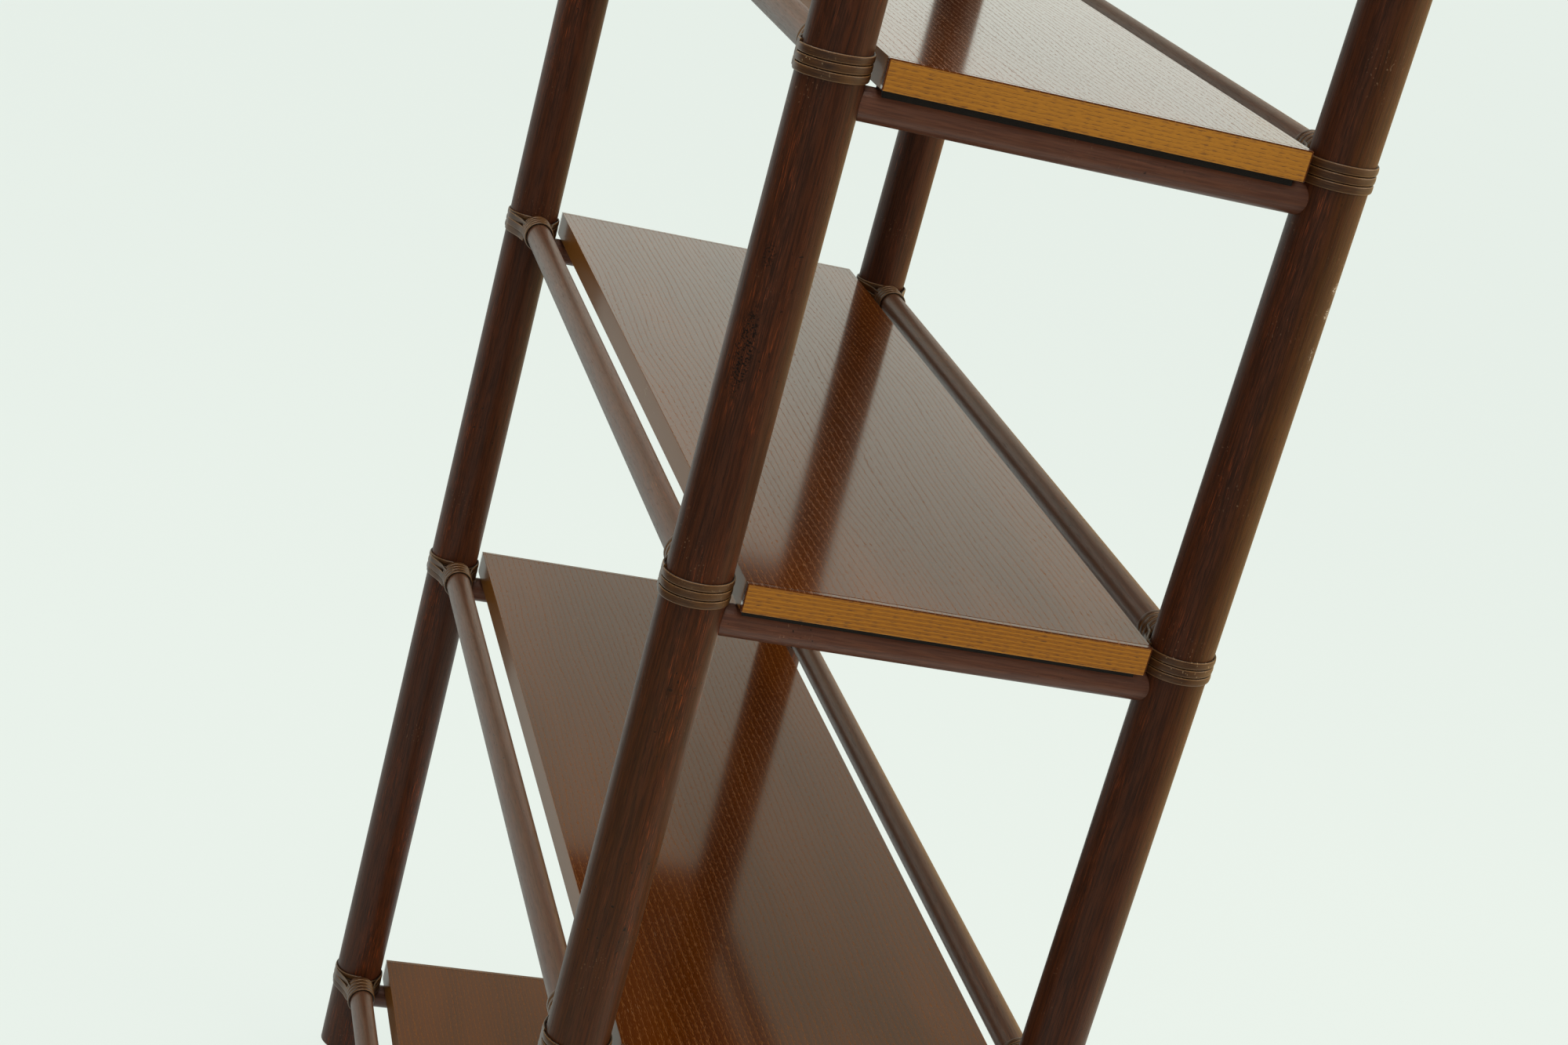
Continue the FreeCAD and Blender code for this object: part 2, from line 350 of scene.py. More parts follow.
def stained_pole(name, axis, gloss, lines, dark, brown, red, wear_and_sheen=None):
    """Dark red-brown stained pole, satin, with fibres along its axis and open pores on its sawn ends."""
    material, tree, shader = finish_named(name)
    place = object_place(tree)
    fibres = use_effect(
        tree, POLE_FIBRES, Place=place, Stretch=[0.04 if a == axis else 1.0 for a in "XYZ"],
        Dark=dark, Brown=brown, Red=red, Lines=lines,
    )
    mark = use_effect(tree, HANDLING_MARKS, Place=place, Density=0.47)["Mark"]
    tone = blend_colour(tree, mark, fibres["Color"], colour(150, 118, 92))
    height = fibres["Height"]
    # The marks on the posts include a painted golden sheen as well as pits and nicks.
    if wear_and_sheen:
        tone, height = wear_and_sheen(tree, place, tone, height)
    end_on = calc(tree, "ABSOLUTE", facing(tree)["XYZ".index(axis)])
    sawn = calc(tree, "GREATER_THAN", end_on, 0.95)
    pores = between(tree, noise(tree, place, 1700.0, 1.0), 0.56, 0.66)
    end_tone = blend_colour(tree, pores, brown, colour(20, 10, 6))
    tree.links.new(blend_colour(tree, sawn, tone, end_tone), shader.inputs["Base Color"])
    tree.links.new(calc(tree, "MULTIPLY_ADD", sawn, 0.25, fibres["Roughness"]), shader.inputs["Roughness"])
    shader.inputs["Specular IOR Level"].default_value = gloss
    height = calc(tree, "SUBTRACT", height, calc(tree, "MULTIPLY", sawn, pores))
    raise_surface(tree, shader, height, 0.35, 0.0004)
    return material


def veneer_look(tree, place, side):
    """Colour, roughness, height and lacquer of dark-stained oak veneer; side is 1 on the long edges."""
    oak = use_effect(tree, OAK_FIGURE, Place=place, Ring_Width=0.0058, Wander=0.03, Openness=0.015)
    pore = calc(tree, "MULTIPLY", oak["Pore"], calc(tree, "SUBTRACT", 1.0, side))
    tone = blend_colour(tree, oak["Ring"], colour(77, 34, 3), colour(67, 29, 3))
    tone = blend_colour(tree, between(tree, oak["Tone"], 0.35, 0.70), tone, colour(87, 41, 4))
    tone = blend_colour(tree, calc(tree, "MULTIPLY", pore, 0.54), tone, colour(138, 86, 36))
    tone = blend_colour(tree, calc(tree, "MULTIPLY", side, 0.85), tone, colour(128, 82, 34))
    dull = calc(tree, "MULTIPLY_ADD", pore, 0.30, 0.11)
    dull = calc(tree, "MULTIPLY_ADD", side, 0.22, dull)
    lacquer = calc(tree, "MULTIPLY_ADD", pore, -0.70, 1.0)
    lacquer = calc(tree, "MULTIPLY", lacquer, calc(tree, "MULTIPLY_ADD", side, -0.78, 1.0))
    return tone, dull, calc(tree, "SUBTRACT", 1.0, pore), lacquer


def shelf_veneer():
    """Dark-stained oak veneer, glossy, with open pores along the shelf."""
    material, tree, shader = finish_named("dark_oak_veneer")
    place = object_place(tree)
    normal = facing(tree)
    side = calc(tree, "GREATER_THAN", calc(tree, "ABSOLUTE", normal[0]), 0.7)
    tone, dull, height, lacquer = veneer_look(tree, place, side)
    mark = use_effect(tree, HANDLING_MARKS, Place=place, Density=0.46)["Mark"]
    tone = blend_colour(tree, calc(tree, "MULTIPLY", mark, 0.6), tone, colour(160, 130, 100))
    tree.links.new(tone, shader.inputs["Base Color"])
    tree.links.new(dull, shader.inputs["Roughness"])
    shader.inputs["Specular IOR Level"].default_value = 0.05
    shader.inputs["Specular Tint"].default_value = (1.0, 0.86, 0.62, 1.0)
    under = calc(tree, "LESS_THAN", normal[2], -0.7)
    lacquer = calc(tree, "MULTIPLY", lacquer, calc(tree, "MULTIPLY_ADD", under, -0.8, 1.0))
    clear_lacquer(tree, shader, lacquer)
    raise_surface(tree, shader, height, 0.12, 0.0003)
    return material


def golden_lipping():
    """Golden oak end lipping, straight grain across the end, under the edge of the dark veneer."""
    material, tree, shader = finish_named("golden_oak_lipping")
    place = object_place(tree)
    x, y, z = split(tree, place)
    turned = join(tree, z, x, y)
    oak = use_effect(tree, OAK_FIGURE, Place=turned, Ring_Width=0.0031, Wander=0.006, Openness=0.02)
    tone = blend_colour(tree, oak["Ring"], colour(166, 109, 27), colour(138, 84, 18))
    tone = blend_colour(tree, between(tree, oak["Tone"], 0.35, 0.7), tone, colour(172, 116, 32))
    tone = blend_colour(tree, calc(tree, "MULTIPLY", oak["Pore"], 0.72), tone, colour(74, 38, 11))
    half_bay = (SHELF_TOPS[2] - SHELF_TOPS[1]) / 2
    upper = calc(tree, "WRAP", calc(tree, "SUBTRACT", z, SHELF_TOPS[1]), half_bay, -half_bay)
    upper = calc(tree, "LESS_THAN", calc(tree, "ABSOLUTE", upper), VENEER_THICKNESS)
    lowest = calc(tree, "ABSOLUTE", calc(tree, "SUBTRACT", z, SHELF_TOPS[0]))
    edge = calc(tree, "MAXIMUM", upper, calc(tree, "LESS_THAN", lowest, VENEER_THICKNESS))
    veneered_end = SHELF_HALF_WIDTH - VENEER_THICKNESS
    edge = calc(tree, "MAXIMUM", edge, calc(tree, "GREATER_THAN", calc(tree, "ABSOLUTE", x), veneered_end))
    dark_tone, dark_dull, dark_height, lacquer = veneer_look(tree, place, 0.0)
    clear_lacquer(tree, shader, calc(tree, "MULTIPLY", edge, lacquer))
    tree.links.new(blend_colour(tree, edge, tone, dark_tone), shader.inputs["Base Color"])
    dull = calc(tree, "MULTIPLY_ADD", oak["Pore"], 0.2, 0.33)
    tree.links.new(between(tree, edge, 0.0, 1.0, dull, dark_dull), shader.inputs["Roughness"])
    height = calc(tree, "SUBTRACT", 1.0, oak["Pore"])
    raise_surface(tree, shader, between(tree, edge, 0.0, 1.0, height, dark_height), 0.15, 0.0003)
    return material


def leather_lace():
    """Olive-brown flat lace: pale lines inside its rims, partly wear and partly a painted highlight on the
    strip's edges, painted shade as dark rims, a fine grain along the strip.
    """
    material, tree, shader = finish_named("leather_lace")
    place = object_place(tree)
    across = tree.nodes.new("ShaderNodeAttribute")
    across.attribute_name = "lace_across"
    along = tree.nodes.new("ShaderNodeAttribute")
    along.attribute_name = "lace_along"
    side = calc(tree, "ABSOLUTE", across.outputs["Fac"])
    lie = join(tree, calc(tree, "MULTIPLY", across.outputs["Fac"], 0.5),
               calc(tree, "MULTIPLY", along.outputs["Fac"], 9.0))
    lie = vector_calc(tree, "ADD", lie, vector_calc(tree, "MULTIPLY", place, (3.0, 3.0, 3.0)))
    fibre = noise(tree, lie, 11.0, 3.0, 0.6)
    grain = noise(tree, place, 1700.0, 2.0, 0.6)
    broad = noise(tree, place, 34.0, 2.0)
    tone = blend_colour(tree, between(tree, fibre, 0.34, 0.68), colour(50, 28, 13), colour(77, 47, 21))
    broad = calc(tree, "MULTIPLY", between(tree, broad, 0.4, 0.7), 0.5)
    tone = blend_colour(tree, broad, tone, colour(96, 65, 30))
    # Pale lines inside the rims: partly wear, partly a painted highlight where the strip's edges catch the
    # light.
    worn_and_highlit = calc(tree, "MULTIPLY", between(tree, side, 0.66, 0.84), between(tree, grain, 0.26, 0.58))
    tone = blend_colour(tree, calc(tree, "MULTIPLY", worn_and_highlit, 0.50), tone, colour(154, 112, 64))
    # Painted shade: near-black rims along the strip's edges, where neighbouring turns meet.
    tone = blend_colour(tree, between(tree, side, 0.89, 0.97), tone, colour(20, 12, 8))
    mark = use_effect(tree, HANDLING_MARKS, Place=place, Density=0.56)["Mark"]
    tree.links.new(blend_colour(tree, mark, tone, colour(186, 160, 122)), shader.inputs["Base Color"])
    tree.links.new(calc(tree, "MULTIPLY_ADD", grain, 0.22, 0.27), shader.inputs["Roughness"])
    shader.inputs["Specular IOR Level"].default_value = 0.46
    height = calc(tree, "ADD", calc(tree, "MULTIPLY", grain, 0.4), calc(tree, "MULTIPLY", fibre, 0.6))
    raise_surface(tree, shader, height, 0.35, 0.0003)
    return material


def black_felt_and_gap_shade():
    """Black wool felt, made near black so that it also paints the shade of the gap between shelf and cross
    rail: matted short fibres.
    """
    material, tree, shader = finish_named("black_felt_and_gap_shade")
    place = object_place(tree)
    mat = noise(tree, place, 1300.0, 4.0, 0.7, 1.5)
    # Near-black tone: the felt's own colour together with painted shade of the gap under the shelf ends.
    tone = blend_colour(tree, between(tree, mat, 0.3, 0.75), colour(6, 5, 5), colour(20, 18, 17))
    tree.links.new(tone, shader.inputs["Base Color"])
    tree.links.new(calc(tree, "MULTIPLY_ADD", mat, 0.1, 0.88), shader.inputs["Roughness"])
    shader.inputs["Sheen Weight"].default_value = 0.1
    raise_surface(tree, shader, mat, 0.7, 0.0005)
    return material


def brushed_pin():
    """Drawn square steel, lightly brushed along its length."""
    material, tree, shader = finish_named("brushed_steel_pin")
    place = object_place(tree)
    drawn = noise(tree, vector_calc(tree, "MULTIPLY", place, (1.0, 0.03, 1.0)), 2600.0, 2.0)
    tone = blend_colour(tree, drawn, colour(150, 150, 152), colour(190, 190, 190))
    tree.links.new(tone, shader.inputs["Base Color"])
    shader.inputs["Metallic"].default_value = 1.0
    tree.links.new(calc(tree, "MULTIPLY_ADD", drawn, 0.2, 0.28), shader.inputs["Roughness"])
    raise_surface(tree, shader, drawn, 0.2, 0.0002)
    return material


POST_STAIN = (colour(50, 24, 11), colour(69, 34, 15), colour(138, 62, 22))
LONG_RAIL_STAIN = (colour(73, 45, 29), colour(88, 55, 36), colour(122, 75, 45))
CROSS_RAIL_STAIN = (colour(78, 45, 33), colour(94, 57, 41), colour(120, 70, 48))
POST_FINISH = stained_pole("stained_post", "Z", 0.22, 0.55, *POST_STAIN, post_wear_and_sheen)
LONG_RAIL_FINISH = stained_pole("stained_long_rail", "Y", 0.62, 0.22, *LONG_RAIL_STAIN)
CROSS_RAIL_FINISH = stained_pole("stained_cross_rail", "X", 0.40, 0.22, *CROSS_RAIL_STAIN)
VENEER_FINISH = shelf_veneer()
LIPPING_FINISH = golden_lipping()
LACE_FINISH = leather_lace()
FELT_AND_GAP_SHADE_FINISH = black_felt_and_gap_shade()
PIN_FINISH = brushed_pin()

FINISH_BY_NAME = (
    ("post_lashing", LACE_FINISH, "leather_lace"),
    ("rail_lashing", LACE_FINISH, "leather_lace"),
    ("rail_pins", PIN_FINISH, "steel"),
    ("rest_pads", FELT_AND_GAP_SHADE_FINISH, "felt"),
    ("shelf_board", VENEER_FINISH, "shelf_veneer"),
    ("lipping", LIPPING_FINISH, "oak_lipping"),
    ("long_rail", LONG_RAIL_FINISH, "pole"),
    ("cross_rail", CROSS_RAIL_FINISH, "pole"),
    ("post", POST_FINISH, "pole"),
)


def dress_cad_nodes():
    """Gives every CAD node its finish, and softens the arrises of the shelf pieces."""
    for name, node in nodes.items():
        for start, finish, slot in FINISH_BY_NAME:
            if name.startswith(start):
                node.data.materials.clear()
                node.data.materials.append(finish)
                break
        if name.startswith("shelf_board") or name.startswith("lipping"):
            weld = node.modifiers.new("joined_corners", "WELD")
            weld.merge_threshold = 0.00001
            bevel = node.modifiers.new("eased_arris", "BEVEL")
            bevel.width = EASED_ARRIS
            bevel.segments = 2
            bevel.limit_method = "ANGLE"
            bevel.angle_limit = math.radians(50)


# The lashings: flat lace wound round posts and rail ends.

def lace_section(tree, add, given):
    """The strip's section, rounded and slightly crowned outside, and how far across it a point is."""
    link = tree.links.new
    strip = add("GeometryNodeCurvePrimitiveQuadrilateral")
    link(given["Lace Thickness"], strip.inputs["Width"])
    link(given["Lace Width"], strip.inputs["Height"])
    rounded = add("GeometryNodeFilletCurve", mode="POLY")
    rounded.inputs["Count"].default_value = 3
    link(strip.outputs[0], rounded.inputs[0])
    link(calc(tree, "MULTIPLY", given["Lace Thickness"], 0.44), rounded.inputs["Radius"])
    spread = add("GeometryNodeResampleCurve", mode="COUNT")
    spread.inputs["Count"].default_value = 24
    link(rounded.outputs[0], spread.inputs[0])
    outwards, across = split(tree, add("GeometryNodeInputPosition").outputs[0])[:2]
    share = calc(tree, "DIVIDE", across, calc(tree, "MULTIPLY", given["Lace Width"], 0.5))
    width = add("GeometryNodeCaptureAttribute", domain="POINT")
    width.capture_items.new("FLOAT", "across")
    link(spread.outputs[0], width.inputs[0])
    link(share, width.inputs[1])
    bulge = calc(tree, "SUBTRACT", 1.0, calc(tree, "MULTIPLY", share, share))
    bulge = calc(tree, "MULTIPLY", bulge, given["Crown"])
    bulge = calc(tree, "MULTIPLY", bulge, calc(tree, "GREATER_THAN", outwards, 0.0))
    crowned = add("GeometryNodeSetPosition")
    link(width.outputs[0], crowned.inputs["Geometry"])
    link(join(tree, bulge), crowned.inputs["Offset"])
    return crowned.outputs[0], width.outputs[1]


def keep_lace_places(tree, add, mesh, along, across):
    """Stores how far along and across the strip each point is, for its finish."""
    for label, source in (("lace_along", along), ("lace_across", across)):
        keep = add("GeometryNodeStoreNamedAttribute", data_type="FLOAT", domain="POINT")
        keep.inputs["Name"].default_value = label
        tree.links.new(mesh, keep.inputs["Geometry"])
        tree.links.new(source, keep.inputs["Value"])
        mesh = keep.outputs[0]
    return mesh


def sweep_lace(tree, add, given, curve):
    """Sweeps the strip's section along a curve, standing upright and turned by the curve's tilt."""
    link = tree.links.new
    upright = add("GeometryNodeSetCurveNormal", mode="Z_UP")
    link(curve, upright.inputs["Curve"])
    length = add("GeometryNodeCaptureAttribute", domain="POINT")
    length.capture_items.new("FLOAT", "along")
    link(upright.outputs[0], length.inputs[0])
    link(add("GeometryNodeSplineParameter").outputs["Length"], length.inputs[1])
    section, across = lace_section(tree, add, given)
    swept = add("GeometryNodeCurveToMesh")
    link(length.outputs[0], swept.inputs["Curve"])
    link(section, swept.inputs["Profile Curve"])
    swept.inputs["Fill Caps"].default_value = True
    return keep_lace_places(tree, add, swept.outputs[0], length.outputs[1], across)


def settle_lace(tree, add, mesh, given, out):
    """Lets the strips wander a little, smooths them and gives them their finish."""
    link = tree.links.new
    real = add("GeometryNodeRealizeInstances")
    link(mesh, real.inputs[0])
    uneven = add("ShaderNodeTexNoise", noise_dimensions="4D")
    link(given["Seed"], uneven.inputs["W"])
    uneven.inputs["Scale"].default_value = 38.0
    uneven.inputs["Detail"].default_value = 1.0
    link(add("GeometryNodeInputPosition").outputs[0], uneven.inputs["Vector"])
    drift = vector_calc(tree, "SUBTRACT", uneven.outputs["Color"], (0.5, 0.5, 0.5))
    scale = add("ShaderNodeVectorMath", operation="SCALE")
    link(drift, scale.inputs[0])
    link(given["Wander"], scale.inputs["Scale"])
    settled = add("GeometryNodeSetPosition")
    link(real.outputs[0], settled.inputs["Geometry"])
    link(scale.outputs[0], settled.inputs["Offset"])
    smooth = add("GeometryNodeSetShadeSmooth")
    link(settled.outputs[0], smooth.inputs[0])
    dressed = add("GeometryNodeSetMaterial")
    link(smooth.outputs[0], dressed.inputs["Geometry"])
    link(given["Finish"], dressed.inputs["Material"])
    link(dressed.outputs[0], out[0])


def lace_tree(name, labels):
    """A new tree with the named sizes as inputs, and what its makers need."""
    tree = bpy.data.node_groups.new(name, "GeometryNodeTree")
    kinds = {"Geometry": "NodeSocketGeometry", "Finish": "NodeSocketMaterial"}
    sockets = {}
    for label in labels:
        sockets[label] = tree.interface.new_socket(
            name=label, in_out="INPUT", socket_type=kinds.get(label, FLOAT)
        ).identifier
    tree.interface.new_socket(name="Geometry", in_out="OUTPUT", socket_type="NodeSocketGeometry")

    def add(kind, **settings):
        node = tree.nodes.new(kind)
        for label, value in settings.items():
            setattr(node, label, value)
        return node

    return tree, sockets, add, add("NodeGroupInput").outputs, add("NodeGroupOutput").inputs


def make_winding_tree():
    """Winds a flat strip round an axis through each given point; the point's lay turns that axis."""
    tree, sockets, add, given, out = lace_tree("flat_lace_winding", (
        "Geometry", "Pole Radius", "Lace Width", "Lace Thickness", "Pitch", "Turns", "Crown", "Wander",
        "Seed", "Finish",
    ))
    link = tree.links.new
    centre_line = calc(tree, "MULTIPLY_ADD", given["Lace Thickness"], 0.5, given["Pole Radius"])
    spiral = add("GeometryNodeCurveSpiral")
    spiral.inputs["Resolution"].default_value = 40
    spiral.inputs["Reverse"].default_value = True
    link(given["Turns"], spiral.inputs["Rotations"])
    link(centre_line, spiral.inputs["Start Radius"])
    link(centre_line, spiral.inputs["End Radius"])
    link(calc(tree, "MULTIPLY", given["Turns"], given["Pitch"]), spiral.inputs["Height"])
    winding = sweep_lace(tree, add, given, spiral.outputs[0])
    lay = add("GeometryNodeInputNamedAttribute", data_type="FLOAT_VECTOR")
    lay.inputs["Name"].default_value = "lay"
    turned = add("FunctionNodeEulerToRotation")
    link(lay.outputs[0], turned.inputs[0])
    spots = add("GeometryNodeInstanceOnPoints")
    link(given["Geometry"], spots.inputs["Points"])
    link(winding, spots.inputs["Instance"])
    link(turned.outputs[0], spots.inputs["Rotation"])
    settle_lace(tree, add, spots.outputs[0], given, out)
    return tree, sockets


def make_crossing_tree():
    """Runs a flat strip along each given curve."""
    tree, sockets, add, given, out = lace_tree("flat_lace_crossing", (
        "Geometry", "Lace Width", "Lace Thickness", "Crown", "Wander", "Seed", "Finish",
    ))
    even = add("GeometryNodeResampleCurve", mode="COUNT")
    even.inputs["Count"].default_value = 18
    tree.links.new(given["Geometry"], even.inputs[0])
    strips = sweep_lace(tree, add, given, even.outputs[0])
    settle_lace(tree, add, strips, given, out)
    return tree, sockets


WINDING_TREE, WINDING_SOCKETS = make_winding_tree()
CROSSING_TREE, CROSSING_SOCKETS = make_crossing_tree()


def lace_mesh(piece, tree, sockets, sizes):
    """Puts the tree on the piece with the given sizes, and leaves only the plain mesh that it makes."""
    winder = piece.modifiers.new("lace", "NODES")
    winder.node_group = tree
    for label, value in sizes.items():
        winder[sockets[label.replace("_", " ")]] = value
    graph = bpy.context.evaluated_depsgraph_get()
    wound = bpy.data.meshes.new_from_object(
        piece.evaluated_get(graph), preserve_all_data_layers=True, depsgraph=graph
    )
    piece.modifiers.remove(winder)
    return wound


def wind_lace(name, starts, replaced, **sizes):
    """One mesh of windings, from a start point and a lay for each, standing for a CAD node."""
    points = bpy.data.meshes.new(name + "_starts")
    points.from_pydata([place for place, lay in starts], [], [])
    lays = points.attributes.new("lay", "FLOAT_VECTOR", "POINT")
    for slot, (place, lay) in zip(lays.data, starts):
        slot.vector = lay
    piece = bpy.data.objects.new(name, points)
    scene.collection.objects.link(piece)
    piece.data = lace_mesh(piece, WINDING_TREE, WINDING_SOCKETS, sizes)
    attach(piece, "frame")
    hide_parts(replaced)


def corners():
    """Each post's centre and the way its rail runs along Y."""
    return [(side * POST_X, end * POST_Y, -end) for end in (-1, 1) for side in (-1, 1)]


# A crossing strip on the band: degrees round the post from the rail, and distance from the post's axis.
ON_BAND = ((88, 0.0248), (76, 0.0257), (65, 0.0264))
# The same strip on the collar: how far it stands off, distance from the post's axis, share of the lean.
ON_COLLAR = ((0.0012, 0.0285, 0.6), (0.0, 0.0345, 1.0), (-0.0022, 0.0410, 1.0))


def crossing_path(x, y, way, side, rise, axis):
    """Points and tilts of one strip that leaves the post's band and runs on to the rail's collar."""
    path = []
    for degrees, reach in ON_BAND:
        turn = math.radians(degrees)
        path.append((reach * math.sin(turn), reach * math.cos(turn), 0.0))
    collar = math.sqrt(CROSSING_REACH ** 2 - rise ** 2)
    lean = math.asin(rise / CROSSING_REACH)
    for off, on, share in ON_COLLAR:
        path.append((collar + off, on, share * lean))
    return [((x + side * out, y + way * on, axis + rise), tilt) for out, on, tilt in path]


def cross_lace(name, level, axis):
    """The strips between band and collar at one level's four joints, as one mesh."""
    curve = bpy.data.curves.new(name + "_paths", "CURVE")
    curve.dimensions = "3D"
    for x, y, way in corners():
        for side in (-1, 1):
            for rise in CROSSING_RISES:
                path = crossing_path(x, y, way, side, rise, axis)
                if side * way < 0:
                    path.reverse()
                spline = curve.splines.new("NURBS")
                spline.points.add(len(path) - 1)
                for point, (place, tilt) in zip(spline.points, path):
                    point.co = (*place, 1.0)
                    point.tilt = tilt
                spline.order_u = 3
                spline.use_endpoint_u = True
    guide = bpy.data.objects.new(name + "_paths", curve)
    scene.collection.objects.link(guide)
    mesh = lace_mesh(guide, CROSSING_TREE, CROSSING_SOCKETS, dict(
        Lace_Width=CROSSING_WIDTH, Lace_Thickness=CROSSING_THICKNESS, Crown=CROSSING_CROWN,
        Wander=CROSSING_WANDER, Seed=level * CROSSING_SEED, Finish=LACE_FINISH,
    ))
    bpy.data.objects.remove(guide)
    piece = bpy.data.objects.new(name, mesh)
    scene.collection.objects.link(piece)
    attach(piece, "frame")


def lay_of(*turns):
    """Turns about X, Y or Z, the last one made first, as one lay."""
    whole = Matrix.Identity(3)
    for angle, axis in turns:
        whole = whole @ Matrix.Rotation(angle, 3, axis)
    return tuple(whole.to_euler())


def lash_level(level):
    """Band, collar and crossing strips at the four joints of a level; the cut ends lie out of sight."""
    axis = SHELF_TOPS[level - 1] - RAIL_BELOW_TOP
    quarter = math.pi / 2
    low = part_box(f"post_lashing_{level}")[0]
    start = low.z + LACE_WIDTH / 2 - BAND_DROP
    bands = [((x, y, start), lay_of((way * quarter, "Z"))) for x, y, way in corners()]
    wind_lace(
        f"lace_band_{level}", bands, f"post_lashing_{level}", Pole_Radius=POST_RADIUS + POLE_CLEARANCE,
        Lace_Width=LACE_WIDTH, Lace_Thickness=BAND_THICKNESS, Pitch=LACE_PITCH, Turns=BAND_TURNS,
        Crown=BAND_CROWN, Wander=BAND_WANDER, Seed=level * BAND_SEED, Finish=LACE_FINISH,
    )
    collars = []
    for x, y, way in corners():
        place = (x, y + way * (COLLAR_START + LACE_WIDTH / 2), axis)
        collars.append((place, lay_of((-way * quarter, "X"), (way * quarter, "Z"))))
    wind_lace(
        f"lace_collar_{level}", collars, f"rail_lashing_{level}", Pole_Radius=RAIL_RADIUS + POLE_CLEARANCE,
        Lace_Width=LACE_WIDTH, Lace_Thickness=COLLAR_THICKNESS, Pitch=LACE_PITCH, Turns=COLLAR_TURNS,
        Crown=COLLAR_CROWN, Wander=COLLAR_WANDER, Seed=level * COLLAR_SEED, Finish=LACE_FINISH,
    )
    cross_lace(f"lace_crossing_{level}", level, axis - BAND_DROP)


# Floor, light and camera.

FLOOR_REACH = 60.0
# Cards that only reflections see: name, lower and upper ends of a diagonal, colour and strength.
CARDS = (
    ("front_card", (-2.4, -1.5, 0), (2.0, -1.5, 2.6), colour(96, 92, 86), 1.0),
    ("left_card", (-1.1, 0.5, 0), (-1.1, -1.5, 2.4), colour(90, 87, 78), 1.0),
    ("right_card", (1.5, -1.4, 0), (1.5, 2.6, 1.7), colour(255, 222, 165), 0.95),
)
# Lamps: name, place, aim, width, watts and tint.
LAMPS = (
    ("overhead_softbox", (-0.2, -0.1, 2.9), (0.0, 0.0, 0.9), 2.0, 50.0, (1.0, 0.97, 0.92)),
    ("front_softbox", (-1.3, -2.6, 0.9), (0.0, -0.4, 0.6), 1.6, 12.0, (1.0, 0.88, 0.74)),
    ("right_softbox", (3.2, -1.2, 2.2), (0.0, 0.0, 0.9), 3.2, 96.0, (1.0, 0.87, 0.68)),
)


def plain_sheet(name, points):
    """A new object of one four-sided face."""
    mesh = bpy.data.meshes.new(name)
    mesh.from_pydata(points, [], [(0, 1, 2, 3)])
    sheet = bpy.data.objects.new(name, mesh)
    scene.collection.objects.link(sheet)
    return sheet


def lay_floor():
    """A wide pale floor that keeps the shadow and fades to the pale surround."""
    reach = FLOOR_REACH
    floor = plain_sheet(
        "studio_floor", [(-reach, -reach, 0), (reach, -reach, 0), (reach, reach, 0), (-reach, reach, 0)]
    )
    material, tree, shader = finish_named("pale_floor")
    clouds = noise(tree, object_place(tree), 1.3, 3.0)
    tone = blend_colour(tree, clouds, colour(168, 174, 168), colour(178, 184, 176))
    tree.links.new(tone, shader.inputs["Base Color"])
    shader.inputs["Roughness"].default_value = 0.75
    glow = tree.nodes.new("ShaderNodeEmission")
    glow.inputs["Color"].default_value = colour(241, 250, 243)
    mixed = tree.nodes.new("ShaderNodeMixShader")
    tree.links.new(calc(tree, "MULTIPLY", seen_rays(tree)[1], 0.86), mixed.inputs[0])
    tree.links.new(shader.outputs[0], mixed.inputs[1])
    tree.links.new(glow.outputs[0], mixed.inputs[2])
    tree.links.new(mixed.outputs[0], tree.nodes["Material Output"].inputs["Surface"])
    floor.data.materials.append(material)


def hang_card(name, low, high, shade, strength):
    """An upright card beside the unit that only reflections see."""
    card = plain_sheet(name, [low, (*high[:2], low[2]), high, (*low[:2], high[2])])
    material, tree = finish_named(name + "_face")[:2]
    glow = tree.nodes.new("ShaderNodeEmission")
    glow.inputs["Color"].default_value = shade
    glow.inputs["Strength"].default_value = strength
    tree.links.new(glow.outputs[0], tree.nodes["Material Output"].inputs["Surface"])
    card.data.materials.append(material)
    card.visible_camera = False
    card.visible_diffuse = False
    card.visible_shadow = False
    card.visible_transmission = False


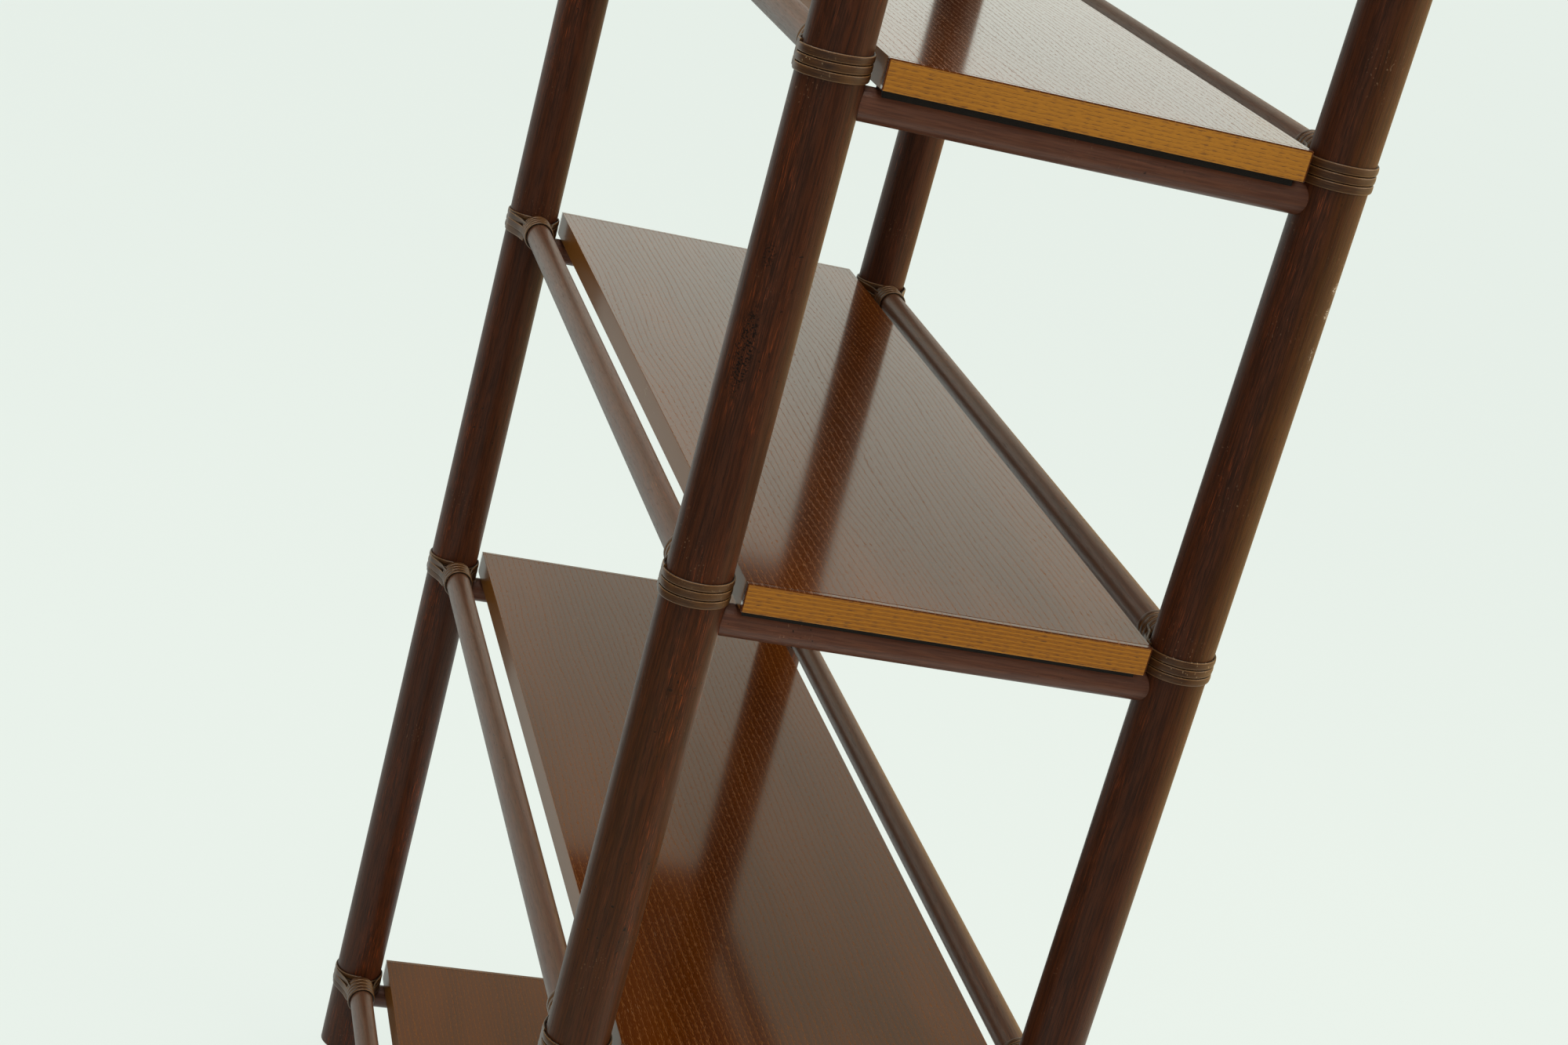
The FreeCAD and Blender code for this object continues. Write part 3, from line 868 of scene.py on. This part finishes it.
def light_studio():
    """Soft even light with three softboxes; the camera and mirrors see a pale surround."""
    world = bpy.data.worlds.new("pale_surround")
    scene.world = world
    world.use_nodes = True
    tree = world.node_tree
    tree.nodes.clear()
    path, seen = seen_rays(tree)
    soft = tree.nodes.new("ShaderNodeBackground")
    soft.inputs["Color"].default_value = (0.97, 1.0, 0.98, 1.0)
    soft.inputs["Strength"].default_value = 0.56
    pale = tree.nodes.new("ShaderNodeBackground")
    heading = split(tree, tree.nodes.new("ShaderNodeTexCoord").outputs["Generated"])
    climb = between(tree, heading[2], 0.10, 0.62)
    mirrored = blend_colour(tree, climb, colour(240, 242, 231), colour(189, 180, 149))
    backdrop = blend_colour(tree, path.outputs["Is Camera Ray"], mirrored, colour(232, 241, 233))
    tree.links.new(backdrop, pale.inputs["Color"])
    pale.inputs["Strength"].default_value = 1.0
    mixed = tree.nodes.new("ShaderNodeMixShader")
    tree.links.new(seen, mixed.inputs[0])
    tree.links.new(soft.outputs[0], mixed.inputs[1])
    tree.links.new(pale.outputs[0], mixed.inputs[2])
    tree.links.new(mixed.outputs[0], tree.nodes.new("ShaderNodeOutputWorld").inputs["Surface"])
    for name, place, aim, size, power, tint in LAMPS:
        lamp = bpy.data.lights.new(name, "AREA")
        lamp.shape = "SQUARE"
        lamp.size = size
        lamp.energy = power
        lamp.color = tint
        light = bpy.data.objects.new(name, lamp)
        light.location = place
        light.rotation_euler = (Vector(aim) - Vector(place)).to_track_quat("-Z", "Y").to_euler()
        scene.collection.objects.link(light)


def set_camera():
    """The photograph's view: above and to the left of the near end, rolled 15 degrees."""
    lens = bpy.data.cameras.new("photo_view")
    lens.sensor_fit = "HORIZONTAL"
    lens.sensor_width = 36.0
    lens.lens = 62.962
    lens.clip_start = 0.05
    lens.clip_end = 200.0
    camera = bpy.data.objects.new("photo_view", lens)
    camera.matrix_world = Matrix((
        (0.945908, -0.159517, -0.282510, -0.67272),
        (-0.207743, 0.371048, -0.905078, -2.18250),
        (0.249200, 0.914810, 0.317839, 1.61592),
        (0.0, 0.0, 0.0, 1.0),
    ))
    scene.collection.objects.link(camera)
    scene.camera = camera


dress_cad_nodes()
for level in LEVELS:
    lash_level(level)
lay_floor()
for card in CARDS:
    hang_card(*card)
light_studio()
set_camera()
scene.view_settings.view_transform = "Standard"
